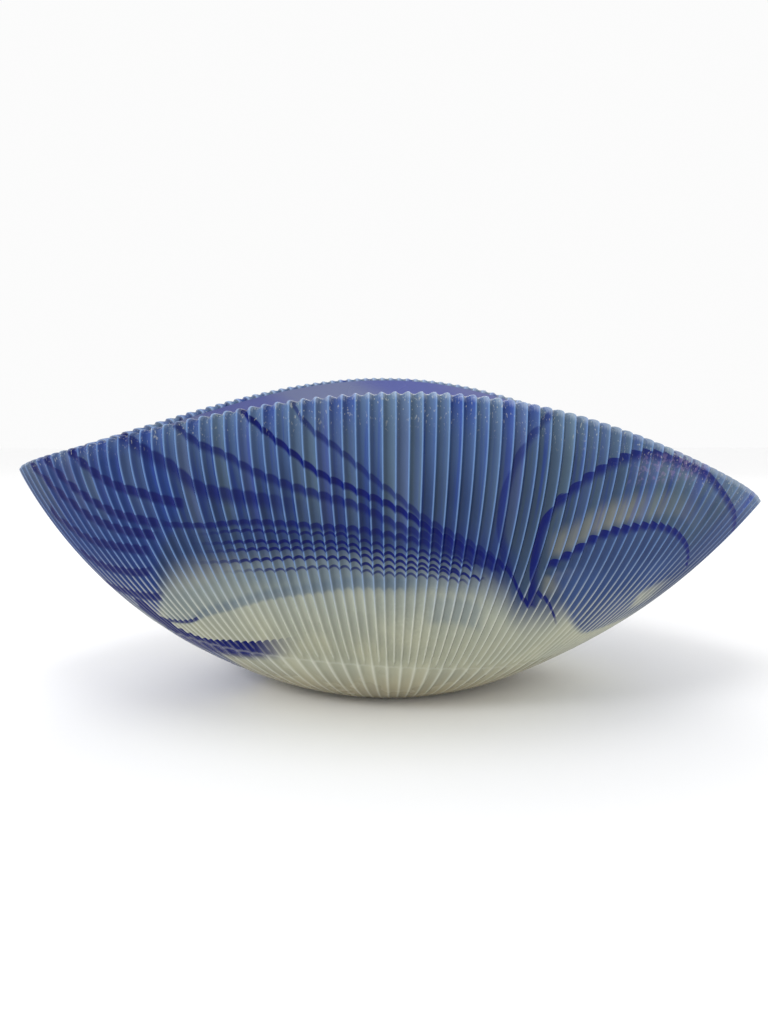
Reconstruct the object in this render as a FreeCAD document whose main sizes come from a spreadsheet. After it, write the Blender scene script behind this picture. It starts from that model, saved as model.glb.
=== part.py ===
import FreeCAD, Part
import math
import os
from FreeCAD import Vector

# A ribbed art glass bowl, blown round and then folded up on both long sides into a pointed oval.
# Millimetres. +Z is up, X is the long axis, and the origin is the centre of the flat foot.
# The wall is built in layers, from the outside in: fluted clear casing, blue overlay with the
# cobalt trails let into it, and the white opal body. A thicker cap of glass closes the bottom.

os.makedirs("parts", exist_ok=True)
doc = FreeCAD.newDocument("art_glass_bowl")

SIZES = {
    # plan of the rim
    "left_reach": 197.0,
    "right_reach": 203.0,
    "front_reach": 119.5,
    "back_reach": 138.5,
    "long_power": 1.9,
    "cross_power": 1.24,
    # height of the rim, which dips towards both tips
    "front_rim_height": 151.5,
    "back_rim_height": 171.0,
    "left_tip_height": 115.0,
    "right_tip_height": 95.5,
    # wall profile from foot to rim: its value at the front and back, what is added to the right and
    # taken off to the left, what both ends add, and what only the tips add
    "foot_radius": 31.0,
    "spread": 0.405,
    "spread_right": -0.118,
    "spread_ends": 0.227,
    "spread_tips": -0.116,
    "tuck": -0.048,
    "tuck_right": 0.091,
    "tuck_ends": -0.119,
    "tuck_tips": 0.300,
    "least_tuck": -0.05,
    "drop": 0.442,
    "drop_right": 0.166,
    "drop_ends": -0.056,
    "drop_tips": -0.065,
    # ribs
    "rib_count": 144.0,
    "rib_turn": -4.6,
    "flute_depth": 1.4,
    "foot_flute_depth": 0.6,
    "ring_share": 0.34,
    # layers, outside to inside
    "casing_thickness": 2.6,
    "overlay_thickness": 0.8,
    "body_thickness": 3.1,
    # how far the trails' outlines are pushed through the front wall
    "outline_reach": 300.0,
}

sheet = doc.addObject("Spreadsheet::Sheet", "Sizes")
for row, (name, value) in enumerate(SIZES.items(), start=1):
    sheet.set(f"A{row}", name)
    sheet.set(f"B{row}", str(value))
    sheet.setAlias(f"B{row}", name)
doc.recompute()


def size(name):
    return float(sheet.get(name))


RIBS = int(size("rib_count"))
FLATS = 4
OVERLAY_SECTORS = 24
# the surfaces start and end at a rib at the back
SEAM = math.pi + math.radians(size("rib_turn"))


def rim_radius(angle):
    """Distance of the rim from the axis. The angle is 0 at the front and grows towards +X."""
    across = abs(math.sin(angle))
    along = abs(math.cos(angle))
    reach_x = size("right_reach") if math.sin(angle) > 0 else size("left_reach")
    reach_y = size("front_reach") if math.cos(angle) > 0 else size("back_reach")
    low, high = 0.0, 2 * size("right_reach")
    for _ in range(40):
        middle = (low + high) / 2
        filled = (middle * across / reach_x) ** size("long_power")
        filled += (middle * along / reach_y) ** size("cross_power")
        low, high = (middle, high) if filled < 1 else (low, middle)
    return (low + high) / 2


def rim_height(angle):
    """Height of the rim: a saddle, high at the front and back and low at the tips."""
    rightness = (math.sin(angle) + 1) / 2
    tip = size("left_tip_height") * (1 - rightness) + size("right_tip_height") * rightness
    middle = size("front_rim_height") if math.cos(angle) > 0 else size("back_rim_height")
    return tip + (middle - tip) * abs(math.cos(angle))


def around(name, angle):
    """One of the wall's shape values at an angle."""
    across = math.sin(angle)
    value = size(name) + size(name + "_right") * across
    return value + size(name + "_ends") * across**2 + size(name + "_tips") * across**4


def wall_profile(angle):
    """Four control points (radius, height) of the outside of the wall, from foot to rim."""
    foot, rim, top = size("foot_radius"), rim_radius(angle), rim_height(angle)
    tuck = max(around("tuck", angle), size("least_tuck"))
    return [
        (foot, 0.0),
        (foot + around("spread", angle) * (rim - foot), 0.0),
        (rim - tuck * (rim - foot), top * (1 - around("drop", angle))),
        (rim, top),
    ]


def direction(start, end):
    length = math.hypot(end[0] - start[0], end[1] - start[1])
    return ((end[0] - start[0]) / length, (end[1] - start[1]) / length)


def inward_profile(profile, depths):
    """The profile moved into the glass, each control point by its own depth."""
    legs = [direction(profile[i], profile[i + 1]) for i in range(3)]
    moved = []
    for i, (radius, height) in enumerate(profile):
        before, after = legs[max(i - 1, 0)], legs[min(i, 2)]
        lean = direction((0, 0), (before[0] + after[0], before[1] + after[1]))
        spare = before[0] * lean[0] + before[1] * lean[1]
        shift = depths[i] / spare
        moved.append((radius - lean[1] * shift, height + lean[0] * shift))
    # the top edge stays level with the rim
    moved[3] = (profile[3][0] - depths[3], profile[3][1])
    return moved


def control_row(angle, depths):
    points = inward_profile(wall_profile(angle), depths)
    return [Vector(r * math.sin(angle), -r * math.cos(angle), z) for r, z in points]


def smooth_surface(depth):
    """Smooth wall surface a given depth inside the rib tips."""
    step = 2 * math.pi / RIBS
    start = SEAM - step
    rows = [control_row(start + i * step, [depth] * 4) for i in range(RIBS)]
    surface = Part.BSplineSurface()
    knots = [i / RIBS for i in range(RIBS + 1)]
    mults = [1] * (RIBS + 1)
    surface.buildFromPolesMultsKnots(rows, mults, [4, 4], knots, [0.0, 1.0], True, False, 3, 3)
    return surface


def fluted_surface(ribs, depth_at_rim):
    """Outside surface with sharp ribs, and between each two a hollow flute of four long flats.

    The flutes run out at the foot.
    """
    step = 2 * math.pi / ribs
    rows = []
    for i in range(ribs * FLATS):
        place = (i % FLATS) / FLATS
        depth = depth_at_rim * (1 - (2 * place - 1) ** 2)
        rows.append(control_row(SEAM + i * step / FLATS, [0.0, 0.5 * depth, depth, depth]))
    rows.append(rows[0])
    surface = Part.BSplineSurface()
    count = ribs * FLATS
    knots = [i / count for i in range(count + 1)]
    mults = [2] + [1] * (count - 1) + [2]
    surface.buildFromPolesMultsKnots(rows, mults, [4, 4], knots, [0.0, 1.0], False, False, 1, 3)
    return surface


def closed_solid(faces):
    shell = Part.makeShell(faces)
    shell.sewShape()
    solid = Part.makeSolid(shell)
    if solid.Volume < 0:
        solid.reverse()
    return solid


def patch(surface, start, end, low, high):
    piece = surface.copy()
    piece.segment(start, end, low, high)
    return piece.toShape()


def side_edges(face):
    """Lower and upper edge of a wall face: the two edges that run around the bowl."""
    around = [edge for edge in face.Edges if edge.isClosed()]
    if not around:
        edges = sorted(face.Edges, key=lambda edge: edge.CenterOfMass.z)
        around = [edges[0], edges[-1]]
    return sorted(around, key=lambda edge: edge.CenterOfMass.z)


def wall_faces(outer, inner, start, end, low, high):
    """Faces around the glass between two wall surfaces, open only towards its neighbours."""
    outer_face = patch(outer, start, end, low, high)
    inner_face = patch(inner, start, end, low, high)
    outer_low, outer_high = side_edges(outer_face)
    inner_low, inner_high = side_edges(inner_face)
    faces = [outer_face, inner_face, Part.makeRuledSurface(outer_high, inner_high)]
    if low > 0:
        faces.append(Part.makeRuledSurface(outer_low, inner_low))
    return faces, outer_low, inner_low


def wall_band(outer, inner, low, high, sectors=1):
    """Glass between two wall surfaces, from one share of the wall to another.

    A fluted band is made of as many sectors as its flutes have flats, so that every rib is an edge.
    The overlay has sectors too, so that the trails cut each of its faces only a few times.
    """
    faces, outer_foot, inner_foot = [], [], []
    for i in range(sectors):
        found, outer_low, inner_low = wall_faces(
            outer, inner, i / sectors, (i + 1) / sectors, low, high
        )
        faces += found
        outer_foot.append(outer_low)
        inner_foot.append(inner_low)
    if low == 0:
        faces.append(Part.Face(Part.Wire(outer_foot)))
        faces.append(Part.Face(Part.Wire(inner_foot)))
    return closed_solid(faces)


def add_feature(label, shape):
    feature = doc.addObject("Part::Feature", label)
    feature.Label = label
    feature.Shape = shape
    feature.Placement = FreeCAD.Placement()
    return feature


casing_depth = size("casing_thickness")
overlay_depth = casing_depth + size("overlay_thickness")
body_depth = overlay_depth + size("body_thickness")
ring = size("ring_share")

outside = fluted_surface(RIBS, size("flute_depth"))
cap_outside = fluted_surface(RIBS // 2, size("foot_flute_depth"))
under_casing = smooth_surface(casing_depth)
under_overlay = smooth_surface(overlay_depth)
inside = smooth_surface(body_depth)

# Trails and patches of coloured glass: name, width, and centre line as (x, height) in front view.
TRAILS = [
    ("long_trail_first", 4.0, [(-74, 154), (-49, 130), (-19, 112), (16, 93), (43, 78), (52, 64), (58, 57)]),
    ("long_trail_second", 2.0, [(-49, 157), (-40, 139), (-26, 128), (-14, 118), (4, 105)]),
    ("long_trail_third", 2.0, [(-104, 150), (-85, 131), (-60, 119), (-39, 112), (-19, 106), (2, 96)]),
    ("long_trail_fourth", 3.0, [(-130, 142), (-109, 127), (-82, 112), (-60, 109), (-34, 105)]),
    ("long_trail_fifth", 3.5, [(-160, 135), (-140, 118), (-120, 109), (-96, 105)]),
    ("long_trail_sixth", 2.5, [(-176, 130), (-149, 107), (-128, 98), (-101, 95), (-61, 98), (-2, 92)]),
    ("short_trail_first", 4.0, [(-188, 124), (-160, 103), (-137, 92), (-109, 89)]),
    ("short_trail_second", 4.0, [(-172, 92), (-141, 81), (-116, 81)]),
    ("short_trail_third", 4.0, [(-160, 71), (-138, 67), (-117, 72)]),
    ("short_trail_fourth", 4.0, [(-149, 53), (-131, 53), (-112, 60)]),
    ("wavy_thread_first", 1.2, [(-18, 89), (2, 87), (20, 80)]),
    ("wavy_thread_second", 1.2, [(-18, 84), (10, 82), (33, 74)]),
    ("wavy_thread_third", 1.2, [(-18, 78), (6, 77), (26, 72)]),
    ("soft_grey_trail", 4.0, [(-112, 41), (-89, 52), (-70, 59), (-35, 69), (-14, 72), (5, 70)]),
    ("low_cobalt_trail", 5.0, [(-94, 34), (-79, 36), (-64, 38), (-46, 44)]),
    ("upper_arc_trail", 2.0, [(64, 152), (48, 130), (40, 110), (39, 98), (41, 85)]),
    ("outer_arch_trail", 4.0, [(57, 70), (57, 92), (69, 111), (92, 124), (120, 124), (153, 110), (180, 86)]),
    ("inner_arch_trail", 4.0, [(65, 79), (84, 90), (111, 94), (133, 87), (150, 68)]),
    ("tail_trail", 2.5, [(64, 61), (69, 53), (74, 44)]),
    ("cream_band", 8.0, [(70, 99), (93, 108), (121, 106), (144, 96)]),
    ("blue_pool", 16.0, [(80, 68), (104, 66), (128, 60)]),
]


def side_line(points, reach):
    """Smooth curve beside a centre line, which keeps its distance from it."""
    beside = []
    for i, (x, z) in enumerate(points):
        before, after = points[max(i - 1, 0)], points[min(i + 1, len(points) - 1)]
        ahead = direction(before, after)
        beside.append(Vector(x - ahead[1] * reach, -size("outline_reach"), z + ahead[0] * reach))
    curve = Part.BSplineCurve()
    curve.interpolate(beside)
    return curve.toShape()


def trail_outline(points, width):
    upper = side_line(points, width / 2)
    lower = side_line(points, -width / 2)
    start = Part.makeLine(lower.firstVertex().Point, upper.firstVertex().Point)
    end = Part.makeLine(lower.lastVertex().Point, upper.lastVertex().Point)
    return Part.Face(Part.Wire(Part.__sortEdges__([upper, end, lower, start])))


overlay_blank = add_feature(
    "overlay_blank", wall_band(under_casing, under_overlay, ring, 1, OVERLAY_SECTORS)
)
parts = [
    add_feature("opal_body", wall_band(under_overlay, inside, 0, 1)),
    add_feature("fluted_casing", wall_band(outside, under_casing, ring, 1, RIBS * FLATS)),
    add_feature("base_cap", wall_band(cap_outside, under_overlay, 0, ring, RIBS // 2 * FLATS)),
]

cutters = []
for label, width, centre_line in TRAILS:
    outline = add_feature(label + "_outline", trail_outline(centre_line, width))
    cutter = doc.addObject("Part::Extrusion", label + "_cutter")
    cutter.Base = outline
    cutter.DirMode = "Custom"
    cutter.Dir = Vector(0, 1, 0)
    cutter.setExpression("LengthFwd", "Sizes.outline_reach")
    cutter.Solid = True
    cutters.append(cutter)
    trail = doc.addObject("Part::MultiCommon", label)
    trail.Label = label
    trail.Shapes = [overlay_blank, cutter]
    trail.Placement = FreeCAD.Placement()
    parts.append(trail)

all_cutters = doc.addObject("Part::MultiFuse", "all_cutters")
all_cutters.Shapes = cutters
overlay = doc.addObject("Part::Cut", "blue_overlay")
overlay.Label = "blue_overlay"
overlay.Base = overlay_blank
overlay.Tool = all_cutters
parts.append(overlay)

doc.recompute()

for item in doc.Objects:
    if "Invalid" in item.State or "Error" in item.State:
        raise RuntimeError(f"{item.Label} failed: {item.State}")
for item in parts:
    if item.Shape.isNull() or not item.Shape.isValid():
        raise RuntimeError(f"{item.Label} has no valid shape")
for item in parts:
    item.Shape.exportStep(f"parts/{item.Label}.step")
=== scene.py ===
import math

import bpy
import numpy as np
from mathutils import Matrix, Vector


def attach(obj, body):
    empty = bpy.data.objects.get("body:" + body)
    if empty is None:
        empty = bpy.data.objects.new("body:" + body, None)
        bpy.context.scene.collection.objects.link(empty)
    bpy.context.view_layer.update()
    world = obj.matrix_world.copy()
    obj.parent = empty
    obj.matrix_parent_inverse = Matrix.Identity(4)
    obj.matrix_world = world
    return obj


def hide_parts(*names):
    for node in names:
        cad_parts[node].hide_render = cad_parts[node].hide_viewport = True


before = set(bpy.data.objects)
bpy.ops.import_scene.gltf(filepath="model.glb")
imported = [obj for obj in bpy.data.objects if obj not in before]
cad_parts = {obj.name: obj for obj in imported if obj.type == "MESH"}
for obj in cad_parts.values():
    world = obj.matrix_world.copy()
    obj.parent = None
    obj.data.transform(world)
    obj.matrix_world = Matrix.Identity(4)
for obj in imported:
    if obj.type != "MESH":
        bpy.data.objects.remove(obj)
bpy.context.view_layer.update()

# Lengths are metres, in the frame of the CAD part: X along the bowl, -Y towards its front, +Z up.
MM = 0.001

# Plan and height of the rim: a pointed oval, just inside the CAD casing's.
LEFT_REACH = 197 * MM
RIGHT_REACH = 203 * MM
FRONT_REACH = 119.4 * MM
BACK_REACH = 138.4 * MM
LONG_POWER = 1.9
CROSS_POWER = 1.24
FRONT_RIM = 151.5 * MM
BACK_RIM = 171 * MM
LEFT_TIP = 115 * MM
RIGHT_TIP = 95.5 * MM

# Wall profile, as shares of the run from the foot's edge to the rim. Each has its value at the
# front and back, what the right adds and the left takes off, what both ends add, and the tips.
FOOT_RADIUS = 31 * MM
SPREAD = (0.405, -0.118, 0.227, -0.116)
TUCK = (-0.048, 0.091, -0.119, 0.300)
LEAST_TUCK = -0.05
DROP = (0.442, 0.166, -0.056, -0.065)
WALL = 6.5 * MM

# Ribs and flutes.
RIBS = 144
RIB_TURN = math.radians(-4.6)
FLUTE_DEPTH = 1.6 * MM
SOFT_FLUTE_DEPTH = 0.7 * MM
RING_SHARE = 0.355
ACROSS_FLUTE = (0.0, 0.06, 0.18, 0.33, 0.5, 0.67, 0.82, 0.94)
LOBE_PLACE = 0.9
RIM_NOTCH = 2.0 * MM
RIM_ROLL = 2.2 * MM


def rim_radius(angle):
    across, along = np.abs(np.sin(angle)), np.abs(np.cos(angle))
    reach_x = np.where(np.sin(angle) > 0, RIGHT_REACH, LEFT_REACH)
    reach_y = np.where(np.cos(angle) > 0, FRONT_REACH, BACK_REACH)
    low, high = np.zeros_like(angle), np.full_like(angle, 2 * RIGHT_REACH)
    for _ in range(40):
        middle = (low + high) / 2
        filled = (middle * across / reach_x) ** LONG_POWER
        filled += (middle * along / reach_y) ** CROSS_POWER
        low = np.where(filled < 1, middle, low)
        high = np.where(filled < 1, high, middle)
    return (low + high) / 2


def rim_height(angle):
    tip = LEFT_TIP + (RIGHT_TIP - LEFT_TIP) * (np.sin(angle) + 1) / 2
    middle = np.where(np.cos(angle) > 0, FRONT_RIM, BACK_RIM)
    return tip + (middle - tip) * np.abs(np.cos(angle))


def around(terms, angle):
    """One of the wall's shape values at an angle."""
    across = np.sin(angle)
    return terms[0] + terms[1] * across + terms[2] * across**2 + terms[3] * across**4


def wall_point(angle, share, depth):
    """Point (x, y, z) on the wall: an angle from the front, a share of the way up, a depth inside."""
    rim, top = rim_radius(angle), rim_height(angle)
    run = rim - FOOT_RADIUS
    tuck = np.maximum(around(TUCK, angle), LEAST_TUCK)
    radii = (FOOT_RADIUS + 0 * run, FOOT_RADIUS + around(SPREAD, angle) * run, rim - tuck * run, rim)
    heights = (0 * top, 0 * top, top * (1 - around(DROP, angle)), top)
    rest = 1 - share
    weights = (rest**3, 3 * rest**2 * share, 3 * rest * share**2, share**3)
    slopes = (-3 * rest**2, 3 * rest**2 - 6 * rest * share, 6 * rest * share - 3 * share**2, 3 * share**2)
    radius = sum(w * value for w, value in zip(weights, radii))
    height = sum(w * value for w, value in zip(weights, heights))
    out = sum(w * value for w, value in zip(slopes, radii))
    up = sum(w * value for w, value in zip(slopes, heights))
    length = np.hypot(out, up)
    radius = radius - depth * up / length
    height = height + depth * out / length
    return np.stack([radius * np.sin(angle), -radius * np.cos(angle), height], axis=-1)


def share_of(length, angle):
    """Share of the wall's height that a short length down from the rim takes."""
    top = rim_height(angle)
    return length / (3 * top * np.maximum(around(DROP, angle), 0.2))


def columns():
    """Angle of every column of the mesh, its place across its flute, and its rib's number."""
    ribs = np.repeat(np.arange(RIBS), len(ACROSS_FLUTE))
    places = np.tile(np.array(ACROSS_FLUTE), RIBS)
    angles = RIB_TURN + (ribs + places) * 2 * math.pi / RIBS
    return angles, places, ribs


def flute(places, ribs, shares):
    """Depth of the flutes: one between each two ribs, and one between each four below the ring."""
    fine = 1 - (2 * places - 1) ** 2
    pair_places = (places + ribs % 2) / 2
    soft = (1 - (2 * pair_places - 1) ** 2) ** 1.3
    above = np.clip((shares - RING_SHARE + 0.012) / 0.05, 0, 1)
    above = above * above * (3 - 2 * above)
    growing = 0.72 + 0.28 * shares
    near_foot = np.clip(shares / RING_SHARE, 0, 1)
    return above * FLUTE_DEPTH * growing * fine + (1 - above) * SOFT_FLUTE_DEPTH * near_foot * soft


def sheet_of_quads(name, rows, uvs, ribs):
    """Mesh from a grid of points, rows by columns, that closes on itself around the bowl."""
    count, width = rows.shape[:2]
    points = rows.reshape(-1, 3)
    left = np.arange(width)
    right = (left + 1) % width
    quads = []
    for row in range(count - 1):
        lower, upper = row * width, (row + 1) * width
        quads.append(np.stack([lower + left, lower + right, upper + right, upper + left], axis=-1))
    quads = np.concatenate(quads)
    mesh = bpy.data.meshes.new(name)
    mesh.from_pydata(points.tolist(), [], quads.tolist())
    for layer_name, grid in uvs.items():
        layer = mesh.uv_layers.new(name=layer_name)
        start, end = grid
        corners = []
        for row in range(count - 1):
            corners.append(np.stack([start[row], end[row], end[row + 1], start[row + 1]], axis=1))
        layer.data.foreach_set("uv", np.concatenate(corners).astype(np.float32).ravel())
    attribute = mesh.attributes.new("rib", "FLOAT", "FACE")
    attribute.data.foreach_set("value", np.tile(ribs, count - 1).astype(np.float32))
    mesh.polygons.foreach_set("use_smooth", [True] * len(mesh.polygons))
    mesh.update()
    piece = bpy.data.objects.new(name, mesh)
    bpy.context.scene.collection.objects.link(piece)
    return piece


def grid_layers(outline_rows, places, shares):
    """UV layers of a grid: front view position in metres, and place across the flute with share."""
    front_start = outline_rows[..., [0, 2]]
    front_end = np.roll(front_start, -1, axis=1)
    next_place = np.roll(places, -1)
    next_place = np.where(next_place == 0, 1.0, next_place)
    phase_start = np.stack([np.broadcast_to(places, shares.shape), shares], axis=-1)
    phase_end = np.stack([np.broadcast_to(next_place, shares.shape), shares], axis=-1)
    return {"front_view": (front_start, front_end), "phase": (phase_start, phase_end)}


def outer_rows(low, high, count):
    """Fluted outside of the wall from one share of its height to another."""
    angles, places, ribs = columns()
    steps = np.linspace(0, 1, count)[:, None]
    notch = RIM_NOTCH * (0.5 - 0.5 * np.cos(2 * math.pi * (places - LOBE_PLACE)))
    lowered = (RIM_ROLL * 0.7 + notch) * (1 - 0.6 * np.sin(angles) ** 4)
    top = high - share_of(lowered, angles) * (high == 1)
    shares = low + (top - low) * steps
    depth = flute(places, ribs, shares)
    rows = wall_point(angles, shares, depth)
    plain = wall_point(angles, shares, 0 * shares)
    return rows, plain, shares


def rim_rows(outside, count):
    """Rounded top of the wall, rolled over from the outside's last row to the inside."""
    angles, _, _ = columns()
    inside = wall_point(angles, 1 - share_of(RIM_ROLL, angles), np.full_like(angles, WALL))
    turns = np.linspace(0, math.pi, count)[1:, None, None]
    middle, half = (outside + inside) / 2, (outside - inside) / 2
    up = np.array([0, 0, RIM_ROLL * 0.75])
    return middle + half * np.cos(turns) + up * np.sin(turns)


def build_fluted_wall():
    _, places, ribs = columns()
    rows, plain, shares = outer_rows(RING_SHARE, 1.0, 64)
    roll = rim_rows(rows[-1], 9)
    count = len(roll)
    rows = np.concatenate([rows, roll])
    plain = np.concatenate([plain, roll * [1, 1, 0] + plain[-1:] * [0, 0, 1]])
    shares = np.concatenate([shares, np.tile(shares[-1], (count, 1))])
    return sheet_of_quads("fluted_wall", rows, grid_layers(plain, places, shares), ribs)


def build_base():
    angles, places, ribs = columns()
    rows, plain, shares = outer_rows(0.0, RING_SHARE, 34)
    disc = np.stack([rows[0] * [k, k, 1] for k in (0.02, 0.35, 0.7, 0.93)])
    rows = np.concatenate([disc, rows])
    plain = np.concatenate([disc, plain])
    shares = np.concatenate([np.zeros((4, len(angles))), shares])
    return sheet_of_quads("glass_base", rows, grid_layers(plain, places, shares), ribs)


def build_inside():
    angles, places, ribs = columns()
    shares = np.linspace(1, 0, 40)[:, None] * (1 - share_of(RIM_ROLL, angles))
    rows = wall_point(angles, shares, np.full_like(shares, WALL))
    disc = np.stack([rows[-1] * [k, k, 1] for k in (0.8, 0.4, 0.02)])
    rows = np.concatenate([rows, disc])
    shares = np.concatenate([shares, np.zeros((3, len(angles)))])
    return sheet_of_quads("bowl_inside", rows, grid_layers(rows, places, shares), ribs)


class Shader:
    """One material's nodes, with short calls for the kinds that are used over and over."""

    def __init__(self, name):
        self.material = bpy.data.materials.new(name)
        self.material.use_nodes = True
        self.tree = self.material.node_tree
        self.surface = self.tree.nodes["Principled BSDF"]

    def feed(self, socket, value):
        if isinstance(value, bpy.types.NodeSocket):
            self.tree.links.new(value, socket)
        else:
            socket.default_value = value

    def math(self, operation, first, second=0.0):
        node = self.tree.nodes.new("ShaderNodeMath")
        node.operation = operation
        self.feed(node.inputs[0], first)
        self.feed(node.inputs[1], second)
        return node.outputs[0]

    def ramp(self, value, start, end, low=0.0, high=1.0):
        """Smooth step: low before start, high after end."""
        node = self.tree.nodes.new("ShaderNodeMapRange")
        node.interpolation_type = "SMOOTHSTEP"
        self.feed(node.inputs[0], value)
        for socket, number in zip(node.inputs[1:5], (start, end, low, high)):
            socket.default_value = number
        return node.outputs[0]

    def scaled(self, value, start, end, low, high):
        """Straight line through two points, held at its ends."""
        node = self.tree.nodes.new("ShaderNodeMapRange")
        self.feed(node.inputs[0], value)
        for socket, number in zip(node.inputs[1:5], (start, end, low, high)):
            socket.default_value = number
        return node.outputs[0]

    def mix(self, factor, first, second, blend="MIX"):
        node = self.tree.nodes.new("ShaderNodeMix")
        node.data_type = "RGBA"
        node.blend_type = blend
        self.feed(node.inputs[0], factor)
        self.feed(node.inputs[6], first)
        self.feed(node.inputs[7], second)
        return node.outputs[2]

    def noise(self, scale, detail=2.0, vector=None, stretch=(1, 1, 1)):
        place = self.tree.nodes.new("ShaderNodeMapping")
        place.inputs["Scale"].default_value = stretch
        if vector is None:
            vector = self.tree.nodes.new("ShaderNodeTexCoord").outputs["Object"]
        self.feed(place.inputs[0], vector)
        node = self.tree.nodes.new("ShaderNodeTexNoise")
        node.inputs["Scale"].default_value = scale
        node.inputs["Detail"].default_value = detail
        self.feed(node.inputs["Vector"], place.outputs[0])
        return node.outputs[0]

    def layer(self, name):
        """The two numbers of a UV layer."""
        node = self.tree.nodes.new("ShaderNodeUVMap")
        node.uv_map = name
        parts = self.tree.nodes.new("ShaderNodeSeparateXYZ")
        self.feed(parts.inputs[0], node.outputs[0])
        return parts.outputs[0], parts.outputs[1]

    def curve(self, value, points):
        """Smooth curve through points (input, output)."""
        inputs, outputs = [p[0] for p in points], [p[1] for p in points]
        start, end, low, high = min(inputs), max(inputs), min(outputs), max(outputs)
        node = self.tree.nodes.new("ShaderNodeFloatCurve")
        self.feed(node.inputs["Value"], self.scaled(value, start, end, 0, 1))
        line = node.mapping.curves[0]
        places = sorted(((i - start) / (end - start), (o - low) / (high - low)) for i, o in points)
        line.points[0].location = places[0]
        line.points[1].location = places[-1]
        for place in places[1:-1]:
            line.points.new(*place)
        node.mapping.update()
        return self.scaled(node.outputs[0], 0, 1, low, high)

    def strip(self, along, across, points, low, high, soft_low, soft_high, fades):
        """Mask of a strip between two offsets from a curve, crisp or soft, fading at its ends."""
        off = self.math("SUBTRACT", across, self.curve(along, points))
        lower = self.ramp(off, low - soft_low, low)
        upper = self.ramp(off, high, high + soft_high, 1, 0)
        start, end = min(p[0] for p in points), max(p[0] for p in points)
        begin = self.ramp(along, start, start + fades[0])
        finish = self.ramp(along, end - fades[1], end, 1, 0)
        sides = self.math("MULTIPLY", lower, upper)
        ends = self.math("MULTIPLY", begin, finish)
        return self.math("MULTIPLY", sides, ends)

    def between(self, factor, first, second):
        """A number mixed from two numbers."""
        node = self.tree.nodes.new("ShaderNodeMix")
        self.feed(node.inputs[0], factor)
        self.feed(node.inputs[2], first)
        self.feed(node.inputs[3], second)
        return node.outputs[0]

    def face_number(self, name):
        node = self.tree.nodes.new("ShaderNodeAttribute")
        node.attribute_name = name
        return node.outputs["Fac"]

    def random(self, value, seed):
        node = self.tree.nodes.new("ShaderNodeTexWhiteNoise")
        node.noise_dimensions = "1D"
        self.feed(node.inputs["W"], self.math("ADD", value, seed))
        return node.outputs["Value"]

    def vector(self, x, y, z):
        node = self.tree.nodes.new("ShaderNodeCombineXYZ")
        for socket, value in zip(node.inputs, (x, y, z)):
            self.feed(socket, value)
        return node.outputs[0]

    def bump(self, height, strength, distance):
        node = self.tree.nodes.new("ShaderNodeBump")
        node.inputs["Strength"].default_value = strength
        node.inputs["Distance"].default_value = distance
        self.feed(node.inputs["Height"], height)
        self.feed(self.surface.inputs["Normal"], node.outputs[0])


def colour(red, green, blue):
    """A colour given as it looks on a screen, 0 to 255, as the linear values that a shader takes."""
    linear = [((c / 255 + 0.055) / 1.055) ** 2.4 for c in (red, green, blue)]
    return (*linear, 1.0)


COBALT = colour(0, 18, 98)
# Cream at the foot: the glass's warm tone with painted shade near the floor.
FOOT_CREAM_SHADED = colour(158, 150, 124)
LOW_CREAM = colour(170, 172, 152)
CREAM = colour(160, 166, 154)
FIELD_BLUE = colour(42, 62, 102)
HIGH_BLUE = colour(66, 90, 132)
SIDE_BLUE = colour(28, 56, 122)
# Painted highlight on the rim's top edge.
RIM_EDGE_HIGHLIGHT = colour(198, 210, 224)
LEFT_GREY = colour(122, 136, 140)
GREY_BLUE = colour(90, 110, 130)
POOL_BLUE = colour(50, 72, 118)
ARCH_BLUE = colour(46, 64, 106)
RIGHT_GREY = colour(56, 74, 94)
WARM_GREY = colour(112, 116, 112)
# Pale tone near the rim: partly the glass's own, partly painted light through the thin rim.
RIM_PALE_AND_LIGHT = colour(132, 160, 190)
# Painted highlight on the rib tips: pale blue high up, cream low down. The cream also draws the ring line and
# the painted glints on the seeds.
RIB_TIP_HIGHLIGHT = colour(116, 152, 204)
CREAM_LINE = colour(206, 208, 194)
GREEN_GREY = colour(84, 104, 116)
VIOLET = colour(72, 84, 134)
STREAK_BLUE = colour(30, 56, 138)
DARKER = (0.9, 0.91, 0.93, 1.0)
LIGHTER = (1.1, 1.08, 1.05, 1.0)
INNER_GREY = colour(122, 132, 166)
INNER_BLUE = colour(82, 92, 168)
IRIDESCENT = colour(140, 122, 164)
DEEP_BLUE = colour(24, 40, 100)
INNER_VIOLET = colour(98, 102, 162)

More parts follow.
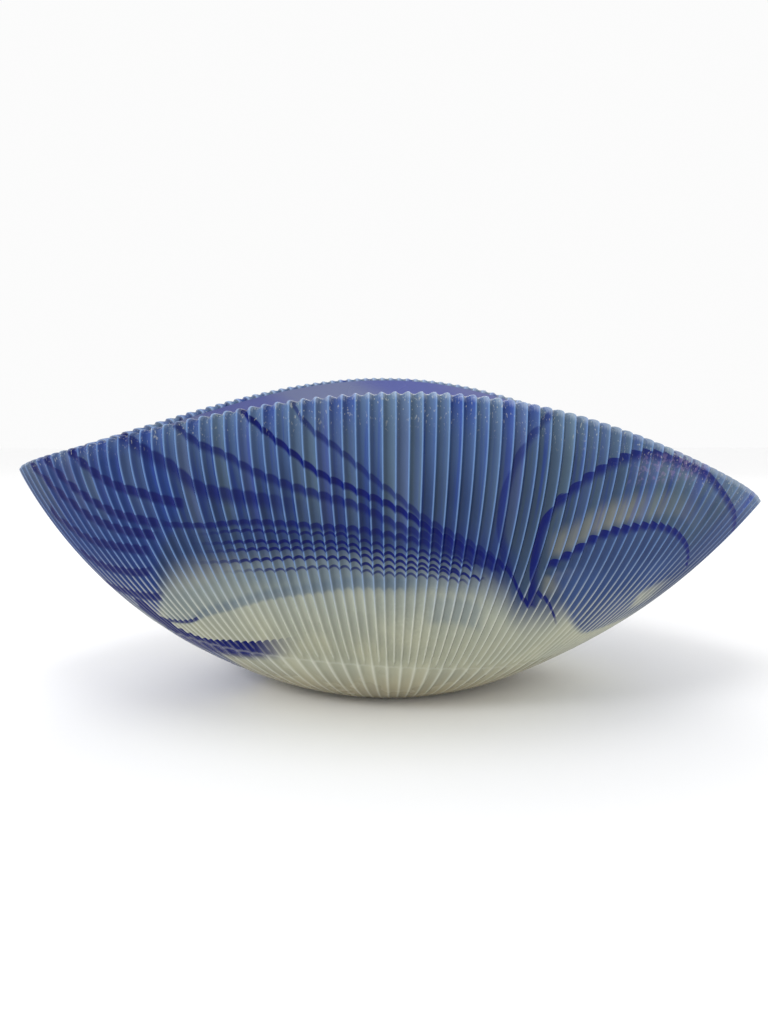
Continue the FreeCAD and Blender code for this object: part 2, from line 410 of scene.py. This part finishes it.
# Fields of colour in front view, in millimetres, painted one over another: the way they run ("x":
# along the bowl, "z": upwards), a guide line as (along, across), offsets of the two edges from
# it, softness of the two edges, fades at both ends, strength and colour.
FIELDS = (
    # everything above the fan's lower edge
    ("x", ((-210, 44), (-118, 60), (-100, 78), (-60, 85), (-20, 86), (20, 82), (45, 71), (58, 60),
           (90, 63), (150, 60), (210, 60)), 4, 300, 26, 1, (1, 1), 1.0, FIELD_BLUE),
    ("x", ((-210, 118), (-60, 130), (60, 124), (210, 112)), 4, 300, 26, 1, (1, 1), 0.9, HIGH_BLUE),
    ("z", ((58, 58), (70, 56), (80, 54), (104, 42), (130, 48), (152, 60), (190, 70)),
     -2, 300, 6, 1, (10, 1), 0.75, RIGHT_GREY),
    # the left flank, blue down to the edge of the cream
    ("z", ((0, -66), (10, -74), (18, -82), (31, -98), (41, -118), (53, -114), (70, -112), (84, -106),
           (105, -96), (125, -104), (180, -130)), -300, -3, 1, 6, (1, 40), 0.9, SIDE_BLUE),
    # grey ground at the lower left, the painted soft shadow of a trail, the threads' ground and the fan's
    # core
    ("x", ((-118, 48), (-96, 56), (-70, 68), (-40, 75), (0, 76), (20, 74)),
     -5, 4, 6, 8, (6, 20), 0.65, LEFT_GREY),
    # painted soft shadow of the low left trail
    ("x", ((-116, 40), (-102, 43), (-89, 51), (-70, 59), (-52, 65), (-35, 69), (-19, 71), (5, 71)),
     -1, 1, 2, 4, (4, 8), 0.6, GREY_BLUE),
    ("x", ((-80, 74), (-50, 76), (-14, 77), (20, 74), (38, 72)), -3, 8, 6, 6, (20, 8), 0.35, GREY_BLUE),
    ("x", ((-50, 101), (-10, 96), (16, 90), (34, 82), (46, 74)), -5, 5, 4, 10, (34, 6), 0.45, DEEP_BLUE),
    # between the two arches, and the cream patches beside them
    ("x", ((60, 86), (72, 91), (93, 100), (121, 103), (140, 96), (156, 84)),
     -3, 1, 5, 8, (6, 60), 0.9, WARM_GREY),
    ("x", ((60, 68), (74, 73), (84, 74)), -4, 1, 8, 3, (4, 10), 0.95, WARM_GREY),
    ("x", ((62, 76), (73, 83), (84, 89), (97, 92), (111, 93), (125, 90), (139, 82), (148, 73), (158, 55)),
     -14, -1, 22, 2, (16, 1), 0.9, ARCH_BLUE),
    ("z", ((34, 99), (42, 89), (50, 82), (60, 77), (80, 65)), 0, 90, 7, 1, (2, 12), 0.9, POOL_BLUE),
    ("x", ((118, 48), (128, 53), (146, 55), (160, 50)), -6, 1, 4, 5, (6, 2), 0.7, LOW_CREAM),
    ("x", ((8, 58), (20, 58), (38, 50)), -4, 4, 5, 5, (6, 6), 0.35, GREY_BLUE),
    # darker blue flank on the right
    ("z", ((20, 128), (50, 146), (62, 152), (80, 162), (96, 180), (110, 196)),
     0, 80, 24, 1, (10, 10), 0.95, ARCH_BLUE),
)

# Trails of cobalt in front view, in millimetres: the way they run, the centre line as (along,
# across), width, softness below and above (or left and right), fades at both ends, and strength.
TRAILS = (
    # the fan, from the rim on the left to the meeting point
    ("x", ((-76, 154), (-49, 130), (-36, 120), (-19, 112), (-2, 104), (16, 93), (33, 84), (43, 78),
           (52, 64), (58, 57)), 1.8, 1.6, 0.8, (1, 2), 1.0),
    ("x", ((-49, 157), (-40, 139), (-26, 128), (-14, 118), (-5, 111), (5, 103), (16, 96), (30, 88),
           (41, 80)), 1.5, 2.0, 1.0, (1, 4), 0.7),
    ("x", ((-104, 150), (-85, 131), (-73, 126), (-60, 119), (-39, 112), (-19, 106), (-3, 98), (16, 91),
           (34, 82), (42, 77)), 1.6, 3.0, 1.0, (1, 2), 0.8),
    ("x", ((-130, 142), (-109, 127), (-98, 122), (-82, 112), (-60, 109), (-34, 105)),
     2.4, 6.0, 1.5, (1, 30), 0.8),
    ("x", ((-160, 135), (-140, 118), (-125, 111), (-106, 107), (-92, 105)), 2.8, 2.6, 1.2, (1, 3), 0.95),
    ("x", ((-178, 132), (-169, 122), (-149, 107), (-128, 98), (-101, 95)), 2.6, 2.6, 1.2, (1, 8), 0.95),
    ("x", ((-106, 95), (-83, 96), (-61, 98), (-30, 97), (-2, 93), (16, 88), (34, 80), (42, 76)),
     1.3, 2.0, 0.8, (4, 2), 0.85),
    ("x", ((-190, 128), (-182, 119), (-160, 103), (-137, 92), (-106, 89)), 2.8, 2.6, 1.2, (1, 4), 0.95),
    ("x", ((-176, 96), (-166, 88), (-141, 81), (-112, 81)), 2.8, 2.6, 1.2, (1, 4), 0.95),
    ("x", ((-164, 74), (-157, 70), (-138, 67), (-113, 72)), 2.8, 2.4, 1.2, (1, 4), 0.95),
    ("x", ((-156, 56), (-149, 53), (-131, 53), (-110, 59)), 3.0, 3.0, 1.5, (1, 4), 0.85),
    # fine threads under the fan
    ("x", ((-96, 90), (-60, 94), (-30, 94), (-14, 90), (10, 86), (34, 79)),
     0.8, 0.7, 0.4, (30, 3), 0.9),
    ("x", ((-96, 86), (-60, 89), (-30, 90), (-14, 86.5), (10, 83), (30, 78)), 0.9, 0.7, 0.4, (30, 3), 1.0),
    ("x", ((-100, 81), (-66, 85), (-30, 87), (-14, 83.5), (8, 80.5), (26, 76)), 0.9, 0.7, 0.4, (40, 4), 0.95),
    ("x", ((-100, 76), (-66, 80), (-30, 83), (-14, 80), (10, 78), (36, 72)), 0.9, 0.7, 0.4, (40, 4), 0.95),
    ("x", ((-84, 73), (-50, 77), (-30, 79), (-14, 77), (6, 75.5), (30, 71)), 0.7, 0.7, 0.4, (30, 6), 0.75),
    # low on the left
    ("x", ((-116, 40), (-102, 43), (-92, 49)), 1.4, 1.2, 0.6, (2, 4), 0.85),
    ("x", ((-134, 50), (-118, 38), (-107, 32), (-96, 30), (-79, 32), (-66, 34.5), (-44, 40)),
     7.5, 6.0, 0.4, (3, 26), 1.0),
    # the faint arc and the arches on the right
    ("z", ((152, 66), (140, 56), (130, 48), (118, 42), (104, 39), (86, 41), (74, 46)),
     1.6, 1.0, 3.0, (2, 8), 0.6),
    ("z", ((56, 57), (63, 56.5), (76, 55.5), (90, 56), (103, 61), (111, 69)), 1.5, 0.5, 4.0, (2, 3), 0.95),
    ("x", ((60, 101), (69, 111), (80, 119), (92, 124), (105, 126), (120, 124), (136, 119), (153, 110),
           (167, 100), (182, 86), (190, 74)), 1.8, 5.0, 0.4, (4, 1), 0.9),
    ("x", ((60, 77), (73, 84), (84, 90), (97, 93), (111, 94), (125, 91), (139, 83), (148, 74), (154, 62)),
     1.8, 3.0, 0.4, (3, 1), 0.95),
    ("x", ((54, 68), (57, 66), (65, 60), (70, 52), (74, 44)), 1.6, 1.0, 0.8, (1, 4), 0.9),
)

# Light and shade across one flute, from one rib to the next.
FLUTE_SHADE = ((0.0, 1.25), (0.07, 0.7), (0.2, 0.62), (0.42, 0.82), (0.7, 1.02), (0.92, 1.22), (1.0, 1.25))

# How far, in millimetres, trails arch over a flute (times four), step up at a rib and drift.
THREAD_ARCH = 3.0
TRAIL_ARCH = 1.2
MIDDLE_STEP = 0.6
OUTER_STEP = 1.4
DRIFT = 3.0

# Hues that some of the ribs take: seed, number from 0 to 1 above which a rib starts to take it,
# strength and colour.
RIB_HUES = ((0.37, 0.45, 0.55, GREEN_GREY), (4.91, 0.72, 0.5, VIOLET))
DARK_RIB_SEED = 9.3

# Width of the pale line on a rib's tip, as a share of the flute: at the ring and higher up.
LINE_AT_RING = 0.19
LINE_HIGHER = 0.11

# Bands on the inside: how they slant, how far the clouds bend them (metres), radians per metre.
BAND_SLANT = 1.6
BAND_BEND = 0.05
BAND_TURNS = 46.0

# Studio: brightness of the surroundings and the floor; each light's name, place, target, width
# and power.
SURROUND_STRENGTH = 0.97
FLOOR_GREY = 0.97
LIGHTS = (
    ("key", (-1.1, -0.8, 0.9), (0, 0, 0.08), 0.35, 6),
    ("top", (-0.1, -0.3, 1.4), (0, 0, 0.1), 0.5, 3),
    ("back", (0.2, 1.2, 1.0), (0, 0, 0.1), 0.8, 3),
)


def paint_pattern(shader, x, z):
    """Colour of the wall in front view: the fields, and the cobalt trails over them."""
    # darker towards the foot: the glass's warm cream with painted shade where the bowl meets the floor
    base = shader.mix(shader.ramp(z, 2, 30), FOOT_CREAM_SHADED, LOW_CREAM)
    base = shader.mix(shader.ramp(z, 34, 66), base, CREAM)
    for run, points, low, high, soft_low, soft_high, fades, strength, tint in FIELDS:
        along, across = (x, z) if run == "x" else (z, x)
        mask = shader.strip(along, across, points, low, high, soft_low, soft_high, fades)
        base = shader.mix(shader.math("MULTIPLY", mask, strength), base, tint)
    trails = None
    for run, points, width, below, above, fades, strength in TRAILS:
        along, across = (x, z) if run == "x" else (z, x)
        mask = shader.strip(along, across, points, -width / 2, width / 2, below, above, fades)
        mask = shader.math("MULTIPLY", mask, strength)
        trails = mask if trails is None else shader.math("MAXIMUM", trails, mask)
    return base, trails


def pattern_height(shader, x, z, place):
    """Height in the pattern: trails arch over every flute and step up at every rib."""
    outward = shader.ramp(shader.math("ABSOLUTE", x), 30, 110)
    threads = shader.math("MULTIPLY", shader.ramp(outward, 0, 1, 1, 0), shader.ramp(z, 92, 106, 1, 0))
    rest = shader.math("SUBTRACT", 1.0, place)
    arch = shader.math("MULTIPLY", place, rest)
    arch = shader.math("MULTIPLY", arch, shader.scaled(threads, 0, 1, -TRAIL_ARCH, -THREAD_ARCH))
    step = shader.math("SUBTRACT", place, 0.5)
    step = shader.math("MULTIPLY", step, shader.scaled(outward, 0, 1, MIDDLE_STEP, OUTER_STEP))
    drift = shader.math("MULTIPLY", shader.math("SUBTRACT", shader.noise(30.0, 2.0), 0.5), DRIFT)
    return shader.math("ADD", shader.math("ADD", z, arch), shader.math("ADD", step, drift))


def tint_ribs(shader, base, rib, place, share, z):
    """Hues of each rib's own above the cream, the first in streaks that run up the rib."""
    above_cream = shader.ramp(z, 78, 112)
    aside, upwards = shader.math("MULTIPLY", place, 1.4), shader.math("MULTIPLY", share, 1.6)
    streaks = shader.noise(1.7, 3.0, shader.vector(rib, aside, upwards), (7.3, 1, 1))
    bluish = shader.ramp(streaks, 0.46, 0.7, 0, 0.6)
    base = shader.mix(shader.math("MULTIPLY", above_cream, bluish), base, STREAK_BLUE)
    for seed, start, strength, tint in RIB_HUES:
        chosen = shader.ramp(shader.random(rib, seed), start, 1.0, 0, strength)
        base = shader.mix(shader.math("MULTIPLY", above_cream, chosen), base, tint)
    return base


def tint_rim(shader, base, rib, near_rim):
    """Paler glass near the rim, partly its own tone and partly painted light shining through the thin rim,
    with some ribs dark blue.
    """
    # pale near the rim, partly painted light coming through the thin glass
    base = shader.mix(shader.math("MULTIPLY", near_rim, 0.22), base, RIM_PALE_AND_LIGHT)
    dark_ribs = shader.ramp(shader.random(rib, DARK_RIB_SEED), 0.68, 0.9)
    dark_ribs = shader.math("MULTIPLY", dark_ribs, near_rim)
    return shader.mix(shader.math("MULTIPLY", dark_ribs, 0.75), base, STREAK_BLUE)


def place_between_ribs(shader, rib, place, share):
    """Place across a flute; below the ring every second rib stops and flutes are twice as wide."""
    odd = shader.math("MODULO", rib, 2.0)
    wide_place = shader.math("MULTIPLY", shader.math("ADD", place, odd), 0.5)
    above_ring = shader.ramp(share, RING_SHARE - 0.01, RING_SHARE + 0.03)
    return shader.between(above_ring, wide_place, place)


def shade_flutes(shader, base, across, z):
    """Light and shade across the flutes, weaker where the wall is cream."""
    shade = shader.math("SUBTRACT", shader.curve(across, FLUTE_SHADE), 1.0)
    depth = shader.ramp(z, 20, 105, 0.3, 1.0)
    shade = shader.math("ADD", 1.0, shader.math("MULTIPLY", shade, depth))
    return shader.mix(1.0, base, shader.vector(shade, shade, shade), "MULTIPLY")


def paint_rib_tip_highlights(shader, base, trails, across, share, x, z):
    """Painted highlight: a pale line on the tip of every rib, weaker over the trails, at the tips and at the
    foot.
    """
    nearest = shader.math("MINIMUM", across, shader.math("SUBTRACT", 1.0, across))
    width = shader.scaled(share, RING_SHARE, 0.7, LINE_AT_RING, LINE_HIGHER)
    line = shader.ramp(shader.math("DIVIDE", nearest, width), 0.0, 1.0, 1, 0)
    line = shader.math("MULTIPLY", line, shader.ramp(shader.math("ABSOLUTE", x), 110, 160, 1, 0.45))
    line = shader.math("MULTIPLY", line, shader.ramp(share, 0.05, RING_SHARE, 0.25, 0.7))
    line = shader.math("MULTIPLY", line, shader.ramp(trails, 0.2, 0.9, 1, 0.25))
    # colour of the painted highlight: cream low down, pale blue higher up
    pale = shader.mix(shader.ramp(z, 50, 84), CREAM_LINE, RIB_TIP_HIGHLIGHT)
    return shader.mix(line, base, pale)


def paint_rim_highlight_and_ring(shader, base, share):
    """Painted highlight along the edge of the rim, and the faint line of the ring."""
    # painted highlight on the top of the rim
    base = shader.mix(shader.ramp(share, 0.982, 0.994, 0, 0.3), base, RIM_EDGE_HIGHLIGHT)
    from_ring = shader.math("ABSOLUTE", shader.math("SUBTRACT", share, RING_SHARE))
    return shader.mix(shader.ramp(from_ring, 0, 0.007, 0.2, 0), base, CREAM_LINE)


def build_wall_material():
    shader = Shader("cased_glass")
    x_metres, z_metres = shader.layer("front_view")
    place, share = shader.layer("phase")
    rib = shader.face_number("rib")
    x = shader.math("MULTIPLY", x_metres, 1000.0)
    z = shader.math("MULTIPLY", z_metres, 1000.0)
    near_rim = shader.ramp(share, 0.9, 1.0)

    # the glass itself, with some painted light and shade
    base, trails = paint_pattern(shader, x, pattern_height(shader, x, z, place))
    base = tint_ribs(shader, base, rib, place, share, z)
    mottle = shader.noise(55.0, 2.0, stretch=(1, 1, 0.3))
    patches = shader.mix(shader.ramp(mottle, 0.35, 0.7), DARKER, LIGHTER)
    base = shader.mix(1.0, base, patches, "MULTIPLY")
    # paler rim, partly painted light through the thin glass
    base = tint_rim(shader, base, rib, near_rim)
    base = shader.mix(trails, base, COBALT)

    # ribs and flutes, with painted light and shade across them and painted highlights on the rib tips and the
    # rim's edge
    across = place_between_ribs(shader, rib, place, share)
    base = shade_flutes(shader, base, across, z)
    # painted highlight on every rib tip
    base = paint_rib_tip_highlights(shader, base, trails, across, share, x, z)
    base = paint_rim_highlight_and_ring(shader, base, share)

    # faint iridescent film on the right shoulder, and seeds in the glass near the rim, drawn pale as painted
    # glints
    film = shader.strip(x, z, ((94, 116), (120, 119), (152, 113)), -3, 4, 5, 5, (12, 16))
    speckle = shader.ramp(shader.noise(500.0, 2.0), 0.5, 0.66, 0.05, 0.4)
    base = shader.mix(shader.math("MULTIPLY", film, speckle), base, IRIDESCENT)
    seeds_and_glints = shader.ramp(shader.noise(1300.0, 1.0, stretch=(1, 1, 0.5)), 0.62, 0.74)
    seeds_and_glints = shader.math("MULTIPLY", seeds_and_glints, near_rim)
    # seeds drawn pale: painted glints on the seeds
    base = shader.mix(shader.math("MULTIPLY", seeds_and_glints, 0.4), base, CREAM_LINE)
    shader.feed(shader.surface.inputs["Base Color"], base)

    ripple = shader.math("MULTIPLY", shader.noise(140.0, 1.0), shader.ramp(share, 0.1, 0.5, 0.02, 0.3))
    shader.bump(shader.math("ADD", ripple, seeds_and_glints), 0.25, 0.4 * MM)
    shader.feed(shader.surface.inputs["Roughness"], shader.ramp(mottle, 0.35, 0.7, 0.2, 0.36))
    shader.surface.inputs["Specular IOR Level"].default_value = 0.06
    shader.surface.inputs["Coat Weight"].default_value = 0.12
    shader.surface.inputs["Coat Roughness"].default_value = 0.06
    return shader.material


def build_inside_material():
    """Broad slanting bands of grey and blue, bent by clouds of a slow noise."""
    shader = Shader("inner_glass")
    x_metres, z_metres = shader.layer("front_view")
    slanting = shader.math("ADD", x_metres, shader.math("MULTIPLY", z_metres, BAND_SLANT))
    clouds = shader.noise(9.0, 2.0)
    place = shader.math("ADD", slanting, shader.math("MULTIPLY", clouds, BAND_BEND))
    waves = shader.math("SINE", shader.math("MULTIPLY", place, BAND_TURNS))
    base = shader.mix(shader.ramp(waves, -0.6, 0.8, 0.1, 0.85), INNER_GREY, INNER_BLUE)
    base = shader.mix(shader.ramp(clouds, 0.5, 0.66, 0, 0.7), base, INNER_VIOLET)
    shader.feed(shader.surface.inputs["Base Color"], base)
    shader.feed(shader.surface.inputs["Roughness"], shader.ramp(shader.noise(40.0), 0.3, 0.7, 0.16, 0.3))
    shader.bump(shader.noise(60.0, 2.0), 0.12, 0.8 * MM)
    shader.surface.inputs["Coat Weight"].default_value = 0.4
    shader.surface.inputs["Coat Roughness"].default_value = 0.05
    return shader.material


def area_light(name, place, target, width, power):
    light = bpy.data.lights.new(name, "AREA")
    light.size = width
    light.energy = power
    lamp = bpy.data.objects.new(name, light)
    lamp.location = place
    lamp.rotation_euler = (Vector(target) - Vector(place)).to_track_quat("-Z", "Y").to_euler()
    bpy.context.scene.collection.objects.link(lamp)


def build_studio():
    bpy.context.scene.view_settings.view_transform = "Standard"
    bpy.ops.mesh.primitive_plane_add(size=8, location=(0, 0, 0))
    floor = bpy.context.object
    floor.name = "studio_floor"
    paper = Shader("pale_paper")
    paper.surface.inputs["Base Color"].default_value = (FLOOR_GREY, FLOOR_GREY, FLOOR_GREY, 1)
    paper.surface.inputs["Roughness"].default_value = 0.9
    floor.data.materials.append(paper.material)
    world = bpy.data.worlds.new("studio")
    bpy.context.scene.world = world
    world.use_nodes = True
    background = world.node_tree.nodes["Background"]
    background.inputs["Color"].default_value = (1, 1, 1, 1)
    background.inputs["Strength"].default_value = SURROUND_STRENGTH
    for light in LIGHTS:
        area_light(*light)


# Camera: about one bowl length in front of the middle, a little below the front rim, looking down.
CAMERA_PLACE = (-20.9 * MM, -424.6 * MM, 139.0 * MM)
CAMERA_PITCH = 0.1119
CAMERA_TURN = 0.0389
FOCAL_SHARE = 0.773


def build_camera():
    camera = bpy.data.cameras.new("camera")
    camera.lens = FOCAL_SHARE * camera.sensor_width
    camera.clip_start = 0.01
    holder = bpy.data.objects.new("camera", camera)
    holder.location = CAMERA_PLACE
    holder.rotation_euler = (math.pi / 2 - CAMERA_PITCH, 0, -CAMERA_TURN)
    bpy.context.scene.collection.objects.link(holder)
    bpy.context.scene.camera = holder


wall, base, inside = build_fluted_wall(), build_base(), build_inside()
wall_glass = build_wall_material()
wall.data.materials.append(wall_glass)
base.data.materials.append(wall_glass)
inside.data.materials.append(build_inside_material())
trail_nodes = [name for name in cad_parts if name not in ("opal_body", "fluted_casing", "base_cap")]
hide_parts("fluted_casing", *trail_nodes)
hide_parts("base_cap")
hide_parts("opal_body")
for piece, slot in ((wall, "casing"), (base, "opal"), (inside, "opal_body")):
    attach(piece, "root")
build_studio()
build_camera()
